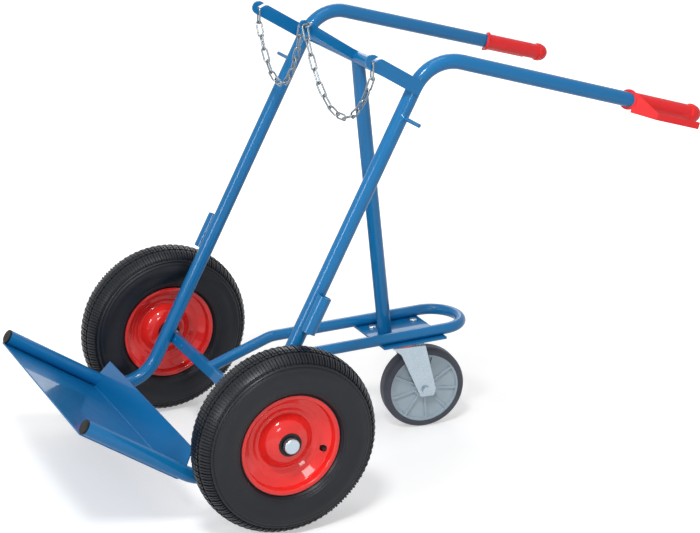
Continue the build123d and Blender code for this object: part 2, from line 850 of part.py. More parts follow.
# Middle link: it lies across the middle prong with both legs in the slot
slot_world = out_dir * slot_dir.X + up_dir * slot_dir.Y
middle_leg = upright_point(middle_hook.X, middle_hook.Y)
middle_centre = middle_leg + slot_world * bow_radius
middle_link_place = link_place(middle_centre - Y * link_half, middle_centre + Y * link_half, slot_world)
save(group(chain_link, [middle_link_place]), "middle_chain_link")

# Left chain: its first link hangs on the middle link's front leg, its last in the outer prong's slot
bow_sag = bow_radius - wire / 2 - math.sqrt((bow_radius - wire / 2) ** 2 - (prong_gauge / 2) ** 2)
slot_play = slot_width / 2 - wire / 2 - moving_clearance - bow_sag
hook_point = upright_point(outer_hook.X, outer_hook.Y, outer_prong_y) - Z * slot_play
last_top = hook_point - Z * (wire + moving_clearance) / 2
last_joint = last_top - Z * link_step
first_joint = middle_leg + Y * chain_set_out + Z * (wire + moving_clearance) / 2
joints = hanging_joints(first_joint, last_joint + Z * moving_clearance, link_count - 1, link_step)
hang_level = Vector(last_joint.X - first_joint.X, last_joint.Y - first_joint.Y, 0).normalized()
hang_normal = hang_level.cross(Z)
places = []
for index in range(link_count - 1):
    along = (joints[index + 1] - joints[index]).normalized()
    across = hang_normal if index % 2 == 0 else hang_normal.cross(along)
    places.append(link_place(joints[index], joints[index + 1], across))
places.append(link_place(last_top, last_joint, Y))
left_chain = group(chain_link, places)
save_pair(left_chain, "chain")

# Castor frame of reference: it stands turned a little from straight ahead
heading = math.radians(castor_heading)
ahead = Vector(math.cos(heading), math.sin(heading), 0)
sideways = Z.cross(ahead)
castor_centre = swivel - ahead * castor_trail + Z * castor_radius
crown_bottom = castor_wheel_diameter + crown_clearance
crown_top = crown_bottom + fork_gauge

# Castor top plate with its bearing boss, bolted under the shelf
plate_bottom = castor_height - top_plate_gauge
race_bottom = crown_top
ball_z = race_bottom + race_gauge + ball_diameter / 2
boss_bottom = ball_z + ball_diameter / 2 + moving_clearance
boss_radius = race_radius + ball_diameter / 2 + race_gauge
king_pin_radius = king_pin_diameter / 2
with BuildPart() as castor_top_plate:
    with BuildSketch(Plane(origin=swivel + Z * plate_bottom)):
        RectangleRounded(top_plate_length, top_plate_width, top_plate_round)
        with GridLocations(bolt_pattern_length, bolt_pattern_width, 2, 2):
            Circle(bolt_diameter / 2 + fit_clearance, mode=Mode.SUBTRACT)
    extrude(amount=top_plate_gauge)
    with BuildSketch(Plane(origin=swivel + Z * boss_bottom)):
        Circle(boss_radius)
    extrude(amount=plate_bottom - boss_bottom)
    with BuildSketch(Plane(origin=swivel + Z * boss_bottom)):
        Circle(king_pin_radius)
    extrude(amount=castor_height - boss_bottom, mode=Mode.SUBTRACT)
save(castor_top_plate.part, "castor_top_plate")

# King pin: fixed in the top plate, with a head under the fork's crown
head_top = crown_bottom - moving_clearance
with BuildPart() as king_pin:
    with BuildSketch(Plane(origin=swivel + Z * head_top)):
        Circle(king_pin_radius)
    extrude(amount=castor_height - head_top)
    with BuildSketch(Plane(origin=swivel + Z * head_top)):
        Circle(king_pin_head_diameter / 2)
    extrude(amount=-king_pin_head_height)
    fillet(king_pin.faces().sort_by(Axis.Z)[0].edges(), king_pin_round)
save(king_pin.part, "king_pin")

# Castor bolts, washers and nuts: round heads on the shelf, nuts under the top plate
with BuildPart() as one_bolt:
    with BuildSketch(Plane.XY.offset(shelf_top)):
        Circle(bolt_head_diameter / 2)
    extrude(amount=bolt_head_height)
    fillet(one_bolt.faces().sort_by(Axis.Z)[-1].edges(), bolt_head_height * dome_share)
    with BuildSketch(Plane.XY.offset(shelf_top)):
        Circle(bolt_diameter / 2)
    extrude(amount=-(shelf_gauge + top_plate_gauge + washer_gauge + nut_height + thread_tail))
save(group(one_bolt.part, bolt_points), "castor_bolts")

with BuildPart() as one_washer:
    with BuildSketch(Plane.XY.offset(plate_bottom)):
        Circle(bolt_head_diameter / 2)
        Circle(bolt_diameter / 2 + fit_clearance, mode=Mode.SUBTRACT)
    extrude(amount=-washer_gauge)
save(group(one_washer.part, bolt_points), "castor_washers")

with BuildPart() as one_nut:
    with BuildSketch(Plane.XY.offset(plate_bottom - washer_gauge)):
        RegularPolygon(nut_across_flats / 2, 6, major_radius=False)
        Circle(bolt_diameter / 2, mode=Mode.SUBTRACT)
    extrude(amount=-nut_height)
save(group(one_nut.part, bolt_points), "castor_nuts")

# Castor fork: a crown and two legs pressed from one plate. Leg places are drawn ahead of the swivel and up
fork_plane = Plane(origin=swivel, x_dir=ahead, z_dir=ahead.cross(Z))
flare_root = (crown_neck, crown_bottom - crown_flare_height)
leg_outline = [
    (crown_front, crown_top),
    (-crown_rear, crown_top),
    (-castor_trail - leg_back, castor_radius),
    (-castor_trail - leg_back + leg_toe, castor_radius - leg_drop),
    (-castor_trail + leg_front, castor_radius - leg_drop),
    flare_root,
    (crown_front, crown_bottom),
]
castor_axle_radius = castor_axle_diameter / 2
with BuildPart() as castor_fork:
    with BuildSketch(fork_plane) as outline:
        with BuildLine():
            Polyline(*leg_outline, close=True)
        make_face()
        fillet(outline.vertices().group_by(Axis.Y)[0], leg_corner_radius)
        fillet(outline.vertices().sort_by_distance(flare_root)[0], crown_flare_radius)
    extrude(amount=fork_gap / 2 + fork_gauge, both=True)
    fillet(castor_fork.edges().group_by(Axis.Z)[-1].filter_by(Axis(swivel, ahead)), fork_bend_radius)
    with BuildSketch(fork_plane):
        with Locations((0, crown_bottom / 2)):
            Rectangle(2 * (castor_trail + leg_back + crown_front), crown_bottom)
    extrude(amount=fork_gap / 2, both=True, mode=Mode.SUBTRACT)
    with BuildSketch(Plane(origin=swivel + Z * crown_bottom)):
        Circle(king_pin_radius + running_clearance)
    extrude(amount=fork_gauge, mode=Mode.SUBTRACT)
    with BuildSketch(fork_plane):
        with Locations((-castor_trail, castor_radius)):
            Circle(castor_axle_radius)
    extrude(amount=fork_gap, both=True, mode=Mode.SUBTRACT)
save(castor_fork.part, "castor_fork")

# Swivel bearing: a lower race and balls that turn with the fork, under the top plate's boss
race = straight_tube(
    swivel + Z * race_bottom,
    swivel + Z * (race_bottom + race_gauge),
    boss_radius,
    race_radius - ball_diameter / 2,
)
save(race, "castor_race")
with BuildPart() as castor_balls:
    with Locations(Plane(origin=swivel + Z * ball_z)):
        with PolarLocations(race_radius, ball_count):
            Sphere(ball_diameter / 2)
save(castor_balls.part, "castor_balls")

seal_radius = seal_diameter / 2
castor_seal = straight_tube(
    swivel + Z * race_bottom,
    swivel + Z * (race_bottom + seal_height),
    seal_radius,
    seal_radius - seal_wall,
)
save(castor_seal, "castor_seal")

# Castor axle bolt and nut through the fork's legs
leg_face = fork_gap / 2 + fork_gauge
bolt_plane = Plane(origin=castor_centre, x_dir=ahead, z_dir=sideways)
with BuildPart() as castor_axle_bolt:
    with BuildSketch(bolt_plane.offset(leg_face)):
        RegularPolygon(castor_axle_flats / 2, 6, major_radius=False)
    extrude(amount=castor_axle_head)
    with BuildSketch(bolt_plane.offset(leg_face)):
        Circle(castor_axle_radius)
    extrude(amount=-(2 * leg_face + castor_axle_head + thread_tail))
save(castor_axle_bolt.part, "castor_axle_bolt")
with BuildPart() as castor_axle_nut:
    with BuildSketch(bolt_plane.offset(-leg_face)):
        RegularPolygon(castor_axle_flats / 2, 6, major_radius=False)
        Circle(castor_axle_radius, mode=Mode.SUBTRACT)
    extrude(amount=-castor_axle_head)
save(castor_axle_nut.part, "castor_axle_nut")

# Castor wheel: a ribbed rim, a rubber tread and a bush that runs on the bolt
castor_axis = Axis(castor_centre, sideways)
castor_profile = Plane(origin=castor_centre, x_dir=sideways, z_dir=sideways.cross(Z))
band_outer = castor_radius - castor_tread_depth
band_inner = band_outer - castor_band_depth
band_half = castor_wheel_width / 2 - castor_band_inset
bush_half = fork_gap / 2 - moving_clearance
bush_radius = castor_axle_radius + running_clearance + castor_bush_wall
castor_hub_radius = castor_hub_diameter / 2
castor_hub_half = castor_wheel_width / 2
with BuildPart() as castor_rim:
    with BuildSketch(castor_profile):
        with Locations((0, (band_inner + band_outer) / 2)):
            Rectangle(2 * band_half, castor_band_depth)
        with Locations((0, (bush_radius + band_outer) / 2)):
            Rectangle(castor_web_gauge, band_outer - bush_radius)
        with Locations((0, (bush_radius + castor_hub_radius) / 2)):
            Rectangle(2 * castor_hub_half, castor_hub_radius - bush_radius)
    revolve(axis=castor_axis)
    rib_start = bush_radius + castor_bush_wall
    rib_end = (band_inner + band_outer) / 2
    with BuildSketch(bolt_plane):
        with PolarLocations((rib_start + rib_end) / 2, castor_rib_count, start_angle=castor_rib_turn):
            Rectangle(rib_end - rib_start, castor_rib_gauge)
    extrude(amount=castor_web_gauge / 2 + castor_rib_height, both=True)
save(castor_rim.part, "castor_rim")

with BuildPart() as castor_tread:
    with BuildSketch(castor_profile) as tread_section:
        with Locations((0, (band_outer + castor_radius) / 2)):
            Rectangle(castor_wheel_width, castor_tread_depth)
        fillet(tread_section.vertices().group_by(Axis.Y)[-1], castor_tread_round)
    revolve(axis=castor_axis)
save(castor_tread.part, "castor_tread")

castor_bush = straight_tube(
    castor_centre - sideways * bush_half,
    castor_centre + sideways * bush_half,
    bush_radius,
    castor_axle_radius + running_clearance,
)
save(castor_bush, "castor_bush")
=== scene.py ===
"""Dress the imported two-bottle hand cart: finishes, treaded tyres, studio and camera."""

from __future__ import annotations

import json
import logging
import math
from dataclasses import dataclass, field
from enum import Enum

import bmesh
import bpy
from mathutils import Matrix, Vector

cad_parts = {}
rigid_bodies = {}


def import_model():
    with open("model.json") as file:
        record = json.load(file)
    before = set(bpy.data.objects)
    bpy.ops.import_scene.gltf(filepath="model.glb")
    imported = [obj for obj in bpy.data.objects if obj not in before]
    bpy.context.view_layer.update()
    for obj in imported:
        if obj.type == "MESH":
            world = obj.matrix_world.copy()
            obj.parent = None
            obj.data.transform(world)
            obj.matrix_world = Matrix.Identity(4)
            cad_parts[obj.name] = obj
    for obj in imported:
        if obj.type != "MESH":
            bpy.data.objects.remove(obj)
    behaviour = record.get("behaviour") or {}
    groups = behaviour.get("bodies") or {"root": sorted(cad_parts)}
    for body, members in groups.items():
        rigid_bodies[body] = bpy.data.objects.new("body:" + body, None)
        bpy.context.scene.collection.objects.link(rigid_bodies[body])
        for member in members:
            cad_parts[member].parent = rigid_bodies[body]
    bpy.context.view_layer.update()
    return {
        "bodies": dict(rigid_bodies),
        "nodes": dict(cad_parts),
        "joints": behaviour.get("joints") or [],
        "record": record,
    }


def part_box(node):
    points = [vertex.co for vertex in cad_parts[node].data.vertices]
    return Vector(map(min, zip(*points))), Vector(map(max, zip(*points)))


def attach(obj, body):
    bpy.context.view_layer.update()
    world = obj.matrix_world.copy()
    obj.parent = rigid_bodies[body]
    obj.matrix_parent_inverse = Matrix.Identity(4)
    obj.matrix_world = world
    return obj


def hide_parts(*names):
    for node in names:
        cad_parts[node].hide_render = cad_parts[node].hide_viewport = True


log = logging.getLogger("hand_cart")

Colour = tuple[float, float, float]
Place = tuple[float, float, float]
Point = tuple[float, float]
Outline = list[Point]
Rib = list[tuple[Point, Point]]

SHARP_ANGLE = math.radians(35.0)
WHITE = (1.0, 1.0, 1.0, 1.0)

# Most of a noise's values lie in this range
NOISE_LOW = 0.3
NOISE_HIGH = 0.7


def linear(red: int, green: int, blue: int) -> Colour:
    """Turn a colour from its usual 0 to 255 values into scene light.

    Args:
        red: Red from 0 to 255.
        green: Green from 0 to 255.
        blue: Blue from 0 to 255.

    Returns:
        The three linear values from 0 to 1.
    """
    levels = (value / 255 for value in (red, green, blue))
    return tuple(v / 12.92 if v <= 0.04045 else ((v + 0.055) / 1.055) ** 2.4 for v in levels)


def scaled(colour: Colour, factor: float) -> Colour:
    """Return a colour made lighter or darker by a factor."""
    return tuple(min(1.0, part * factor) for part in colour)


class Side(Enum):
    """The two sides of the cart, as the CAD nodes spell them."""

    LEFT = "left"
    RIGHT = "right"


@dataclass(frozen=True)
class Grain:
    """A surface's fine relief, made by a noise.

    Attributes:
        scale: Bumps to the metre.
        layers: How many finer layers the noise has.
        strength: How much of the relief shows.
        depth: The relief's depth in metres.
    """

    scale: float
    layers: float
    strength: float
    depth: float


class Graph:
    """A new material with short calls that add and join its nodes."""

    def __init__(self, name: str) -> None:
        """Make a node tree with an output and one principled shader.

        Args:
            name: The material's name.
        """
        self.material = bpy.data.materials.new(name)
        self.material.use_nodes = True
        self.tree = self.material.node_tree
        self.tree.nodes.clear()
        self.output = self.tree.nodes.new("ShaderNodeOutputMaterial")
        self.shader = self.tree.nodes.new("ShaderNodeBsdfPrincipled")
        self.join(self.shader.outputs["BSDF"], self.output.inputs["Surface"])
        self.place = self.tree.nodes.new("ShaderNodeTexCoord").outputs["Object"]

    def add(self, kind: str, **values: float | str) -> bpy.types.Node:
        """Add a node and set its input sockets or its own settings by name.

        Args:
            kind: The node's type name.
            values: Socket values by socket name, or settings by attribute name.

        Returns:
            The new node.
        """
        node = self.tree.nodes.new(kind)
        for name, value in values.items():
            socket = node.inputs.get(name.replace("_", " ").title())
            if socket is None:
                setattr(node, name, value)
            else:
                socket.default_value = value
        return node

    def join(self, source: bpy.types.NodeSocket, target: bpy.types.NodeSocket) -> None:
        """Join an output socket to an input socket."""
        self.tree.links.new(source, target)

    def set(self, **values: float | tuple[float, ...]) -> None:
        """Set constants on the shader's own sockets by name."""
        for name, value in values.items():
            self.shader.inputs[name.replace("_", " ").title().replace("Ior", "IOR")].default_value = value

    def noise(self, scale: float, layers: float = 3.0, fineness: float = 0.5) -> bpy.types.NodeSocket:
        """Add a noise over the object's own coordinates.

        Args:
            scale: Patches to the metre.
            layers: How many finer layers it has.
            fineness: How strong the finer layers are.

        Returns:
            The noise's value socket.
        """
        node = self.add("ShaderNodeTexNoise", scale=scale, detail=layers, roughness=fineness)
        self.join(self.place, node.inputs["Vector"])
        return node.outputs["Fac"]

    def spread(self, value: bpy.types.NodeSocket, low: float, high: float) -> bpy.types.NodeSocket:
        """Map the middle of a noise onto a range.

        Args:
            value: The noise's value socket.
            low: The result where the noise is low.
            high: The result where the noise is high.

        Returns:
            The mapped value's socket.
        """
        node = self.add(
            "ShaderNodeMapRange", from_min=NOISE_LOW, from_max=NOISE_HIGH, to_min=low, to_max=high
        )
        self.join(value, node.inputs["Value"])
        return node.outputs["Result"]

    def tone(self, value: bpy.types.NodeSocket, first: Colour, second: Colour) -> None:
        """Colour the shader by a mix of two colours.

        Args:
            value: The mixing value's socket.
            first: The colour at zero.
            second: The colour at one.
        """
        node = self.tree.nodes.new("ShaderNodeMix")
        node.data_type = "RGBA"
        colour_a, colour_b = [s for s in node.inputs if s.type == "RGBA"]
        colour_a.default_value = (*first, 1.0)
        colour_b.default_value = (*second, 1.0)
        self.join(value, node.inputs["Factor"])
        mixed = next(s for s in node.outputs if s.type == "RGBA")
        self.join(mixed, self.shader.inputs["Base Color"])

    def gloss(self, scale: float, roughness: float, change: float) -> None:
        """Let the shader's roughness vary in patches.

        Args:
            scale: Patches to the metre.
            roughness: The middle value.
            change: How far it goes below and above that.
        """
        patches = self.spread(self.noise(scale), roughness - change, roughness + change)
        self.join(patches, self.shader.inputs["Roughness"])

    def relief(self, grain: Grain) -> None:
        """Give the shader's surface a fine relief.

        Args:
            grain: The relief's sizes.
        """
        node = self.add("ShaderNodeBump", strength=grain.strength, distance=grain.depth)
        self.join(self.noise(grain.scale, grain.layers), node.inputs["Height"])
        self.join(node.outputs["Normal"], self.shader.inputs["Normal"])


@dataclass(frozen=True)
class Paint:
    """A sprayed or powder-coated finish with a gloss coat and a fine orange-peel relief."""

    colour: Colour
    roughness: float
    coat: float
    coat_roughness: float = 0.03
    shine: float = 0.1
    cloud_scale: float = 7.0
    cloud_tones: tuple[float, float] = (0.95, 1.05)
    gloss_scale: float = 30.0
    gloss_change: float = 0.15
    peel: Grain = Grain(300.0, 1.0, 0.15, 0.00003)

    def material(self, name: str) -> bpy.types.Material:
        """Build the finish.

        Args:
            name: The material's name.

        Returns:
            The new material.
        """
        graph = Graph(name)
        dark, light = (scaled(self.colour, tone) for tone in self.cloud_tones)
        graph.tone(graph.noise(self.cloud_scale), dark, light)
        graph.gloss(self.gloss_scale, self.roughness, self.roughness * self.gloss_change)
        graph.relief(self.peel)
        graph.set(coat_weight=self.coat, coat_roughness=self.coat_roughness)
        graph.set(specular_ior_level=self.shine)
        return graph.material


@dataclass(frozen=True)
class Plastic:
    """A moulded plastic with a fine spark-eroded grain."""

    colour: Colour
    roughness: float
    shine: float = 0.5
    cloud_scale: float = 14.0
    cloud_tones: tuple[float, float] = (0.93, 1.05)
    gloss_scale: float = 60.0
    gloss_change: float = 0.15
    grain: Grain = Grain(1400.0, 2.0, 0.3, 0.00012)

    def material(self, name: str) -> bpy.types.Material:
        """Build the finish.

        Args:
            name: The material's name.

        Returns:
            The new material.
        """
        graph = Graph(name)
        dark, light = (scaled(self.colour, tone) for tone in self.cloud_tones)
        graph.tone(graph.noise(self.cloud_scale), dark, light)
        graph.gloss(self.gloss_scale, self.roughness, self.roughness * self.gloss_change)
        graph.relief(self.grain)
        graph.set(specular_ior_level=self.shine)
        return graph.material


@dataclass(frozen=True)
class Rubber:
    """A moulded rubber with a dull bloom and a fine grain."""

    colour: Colour
    bloom: Colour
    roughness: float
    shine: float = 0.32
    bloom_scale: float = 18.0
    bloom_layers: float = 5.0
    bloom_fineness: float = 0.65
    gloss_scale: float = 45.0
    gloss_change: float = 0.06
    grain: Grain = Grain(900.0, 3.0, 0.35, 0.00025)

    def material(self, name: str) -> bpy.types.Material:
        """Build the finish.

        Args:
            name: The material's name.

        Returns:
            The new material.
        """
        graph = Graph(name)
        patches = graph.noise(self.bloom_scale, self.bloom_layers, self.bloom_fineness)
        graph.tone(graph.spread(patches, 0.0, 1.0), self.colour, self.bloom)
        graph.gloss(self.gloss_scale, self.roughness, self.gloss_change)
        graph.relief(self.grain)
        graph.set(specular_ior_level=self.shine)
        return graph.material


@dataclass(frozen=True)
class Zinc:
    """A bright zinc plate with faint cloudy patches and fine polishing marks."""

    colour: Colour
    roughness: float
    metal: float = 0.85
    cloud_scale: float = 28.0
    cloud_tones: tuple[float, float] = (0.95, 1.03)
    gloss_scale: float = 60.0
    gloss_change: float = 0.2
    marks: Grain = Grain(400.0, 3.0, 0.12, 0.00004)

    def material(self, name: str) -> bpy.types.Material:
        """Build the finish.

        Args:
            name: The material's name.

        Returns:
            The new material.
        """
        graph = Graph(name)
        dark, light = (scaled(self.colour, tone) for tone in self.cloud_tones)
        graph.tone(graph.spread(graph.noise(self.cloud_scale), 0.0, 1.0), dark, light)
        graph.gloss(self.gloss_scale, self.roughness, self.roughness * self.gloss_change)
        graph.relief(self.marks)
        graph.set(metallic=self.metal)
        return graph.material


FINISHES: dict[str, Paint | Plastic | Rubber | Zinc] = {
    "frame_blue": Paint(linear(16, 109, 166), roughness=0.35, coat=0.4),
    "plug_black": Plastic(linear(7, 7, 9), roughness=0.45, shine=0.2),
    "grip_red": Plastic(linear(231, 42, 46), roughness=0.45, shine=0.35),
    "zinc_steel": Zinc(linear(182, 197, 207), roughness=0.28),
    "chain_steel": Zinc(linear(134, 142, 147), roughness=0.28),
    "tyre_black": Rubber(linear(13, 16, 23), linear(19, 23, 31), roughness=0.38),
    "tube_rubber": Rubber(linear(24, 24, 26), linear(34, 34, 36), roughness=0.55),
    "rim_red": Paint(linear(232, 44, 40), roughness=0.3, coat=0.7),
    "bearing_black": Plastic(linear(16, 16, 18), roughness=0.4, shine=0.3),
    "castor_seal_red": Plastic(linear(205, 110, 115), roughness=0.4),
    "castor_rim_grey": Plastic(linear(166, 182, 192), roughness=0.4),
    "castor_tread_grey": Rubber(linear(64, 67, 77), linear(75, 78, 88), roughness=0.55),
    "bush_white": Plastic(linear(215, 215, 210), roughness=0.4),
}


class FinishShelf:
    """The cart's materials, each built once and handed out by slot name."""

    def __init__(self) -> None:
        """Build every finish."""
        self.by_slot = {slot: finish.material(slot) for slot, finish in FINISHES.items()}

    def dress(self, piece: bpy.types.Object, slot: str) -> None:
        """Give a piece one finish in place of whatever it had."""
        piece.data.materials.clear()
        piece.data.materials.append(self.by_slot[slot])

    def dress_cad(self, frame: dict) -> None:
        """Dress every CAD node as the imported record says."""
        for row in frame["record"]["subparts"]:
            self.dress(frame["nodes"][row["node"]], row["material_slot"])


def link_mesh(name: str, mesh: bmesh.types.BMesh, smooth: bool = True) -> bpy.types.Object:
    """Turn a built mesh into an object in the scene.

    Args:
        name: The object's name.
        mesh: The built mesh, which is freed.
        smooth: Whether its faces shade smoothly.

    Returns:
        The new object.
    """
    for edge in mesh.edges:
        edge.smooth = len(edge.link_faces) == 2 and edge.calc_face_angle() < SHARP_ANGLE
    for face in mesh.faces:
        face.smooth = smooth
    data = bpy.data.meshes.new(name)
    mesh.to_mesh(data)
    mesh.free()
    piece = bpy.data.objects.new(name, data)
    bpy.context.scene.collection.objects.link(piece)
    return piece


def spline(before: float, start: float, stop: float, after: float, t: float) -> float:
    """Return one coordinate of a smooth curve through values.

    Args:
        before: The value ahead of the span.
        start: The value where the span starts.
        stop: The value where the span stops.
        after: The value past the span.
        t: How far along the span, from 0 to 1.

    Returns:
        The coordinate.
    """
    slope = stop - before
    square = 2 * before - 5 * start + 4 * stop - after
    cube = 3 * start - before - 3 * stop + after
    return 0.5 * (2 * start + slope * t + square * t**2 + cube * t**3)


def curve_through(points: Outline, steps: int) -> Outline:
    """Return a smooth line through points, with steps between each two.

    Args:
        points: The places that the line passes, in order.
        steps: How many pieces each span is cut into.

    Returns:
        The line's points, the first and last as given.
    """
    ends = [points[0], *points, points[-1]]
    line: Outline = []
    for index in range(1, len(ends) - 2):
        span = ends[index - 1 : index + 3]
        for step in range(steps):
            line.append(tuple(spline(*values, step / steps) for values in zip(*span)))
    line.append(points[-1])
    return line


class RingTree:
    """A geometry node tree that sets copies of one shape round a wheel's axis."""

    def __init__(self, name: str) -> None:
        """Build the tree with inputs for the count, the centre and the finish.

        Args:
            name: The tree's name.
        """
        self.tree = bpy.data.node_groups.new(name, "GeometryNodeTree")
        face = self.tree.interface
        self.sockets: dict[str, str] = {}
        for label, kind in (
            ("Geometry", "NodeSocketGeometry"),
            ("Count", "NodeSocketInt"),
            ("Centre", "NodeSocketVector"),
            ("Finish", "NodeSocketMaterial"),
        ):
            self.sockets[label] = face.new_socket(label, in_out="INPUT", socket_type=kind).identifier
        face.new_socket("Geometry", in_out="OUTPUT", socket_type="NodeSocketGeometry")
        self._fill()

    def _fill(self) -> None:
        """Add and join the tree's nodes."""
        nodes = self.tree.nodes
        link = self.tree.links.new
        given = nodes.new("NodeGroupInput")
        result = nodes.new("NodeGroupOutput")
        points = nodes.new("GeometryNodePoints")
        index = nodes.new("GeometryNodeInputIndex")
        share = nodes.new("ShaderNodeMath")
        share.operation = "DIVIDE"
        turn = nodes.new("ShaderNodeMath")
        turn.operation = "MULTIPLY"
        turn.inputs[1].default_value = math.tau
        spin = nodes.new("ShaderNodeCombineXYZ")
        copies = nodes.new("GeometryNodeInstanceOnPoints")
        realize = nodes.new("GeometryNodeRealizeInstances")
        finish = nodes.new("GeometryNodeSetMaterial")
        link(given.outputs["Count"], points.inputs["Count"])
        link(given.outputs["Centre"], points.inputs["Position"])
        link(index.outputs["Index"], share.inputs[0])
        link(given.outputs["Count"], share.inputs[1])
        link(share.outputs["Value"], turn.inputs[0])
        link(turn.outputs["Value"], spin.inputs["Y"])
        link(points.outputs["Points"], copies.inputs["Points"])
        link(given.outputs["Geometry"], copies.inputs["Instance"])
        link(spin.outputs["Vector"], copies.inputs["Rotation"])
        link(copies.outputs["Instances"], realize.inputs["Geometry"])
        link(realize.outputs["Geometry"], finish.inputs["Geometry"])
        link(given.outputs["Finish"], finish.inputs["Material"])
        link(finish.outputs["Geometry"], result.inputs["Geometry"])

    def run(self, piece: bpy.types.Object, **values: object) -> None:
        """Run the tree on a piece and keep the result as its plain mesh.

        Args:
            piece: The object that holds one copy of the shape.
            values: The tree's inputs by label, in lower case.
        """
        modifier = piece.modifiers.new(self.tree.name, "NODES")
        modifier.node_group = self.tree
        for label, value in values.items():
            modifier[self.sockets[label.capitalize()]] = value
        depsgraph = bpy.context.evaluated_depsgraph_get()
        mesh = bpy.data.meshes.new_from_object(piece.evaluated_get(depsgraph))
        piece.modifiers.clear()
        piece.data = mesh


@dataclass(frozen=True)
class FlankRing:
    """A moulded ring on a tyre's flank, raised where its height is positive and sunk where it is negative."""

    radius: float
    width: float
    height: float

    def lift(self, radius: float) -> float:
        """Return how far the ring lifts the flank at a radius."""
        reach = abs(radius - self.radius) / (self.width / 2)
        return self.height * (0.5 + 0.5 * math.cos(math.pi * reach)) if reach < 1 else 0.0


FLANK_RINGS = (
    FlankRing(0.1765, 0.0034, 0.0011),
    FlankRing(0.1738, 0.0024, -0.0010),
    FlankRing(0.1695, 0.0030, 0.0006),
    FlankRing(0.1235, 0.0020, 0.0006),
    FlankRing(0.1200, 0.0020, 0.0006),
    FlankRing(0.1165, 0.0020, 0.0006),
)


